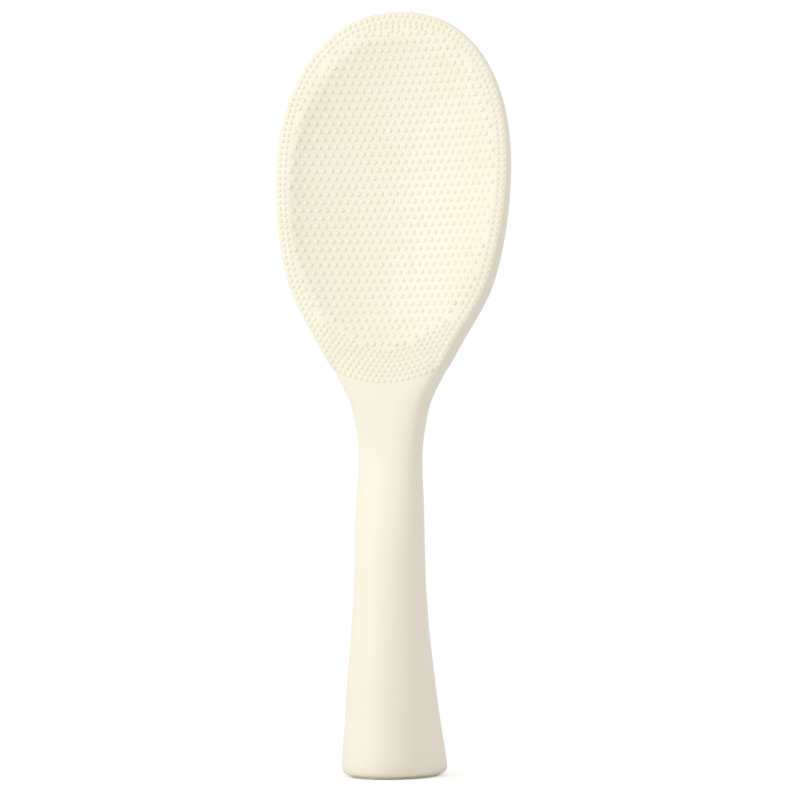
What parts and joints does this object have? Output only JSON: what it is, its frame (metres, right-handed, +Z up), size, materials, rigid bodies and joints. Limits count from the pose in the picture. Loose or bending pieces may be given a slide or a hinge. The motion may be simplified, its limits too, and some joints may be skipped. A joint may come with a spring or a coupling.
{
  "type": "rice paddle",
  "caption": "Self-standing rice paddle with a shallow, bead-textured oval blade and a flared hollow handle weighted at the foot.",
  "frame": {"origin": "middle of the flat foot, on the surface that the paddle stands on", "axes": "+Z up from the foot to the tip of the blade, -Y the rice side of the blade, +X to the right as the rice side is seen"},
  "size_m": [0.0726, 0.0393, 0.225],
  "materials": {
    "body_plastic": "fine satin, moulded ivory plastic",
    "plug_plastic": "plain moulded ivory plastic",
    "slug_steel": "turned"
  },
  "bodies": {
    "root": {"paddle_body": "body_plastic", "base_plug": "plug_plastic", "ballast_slug": "slug_steel"}
  },
  "joints": []
}
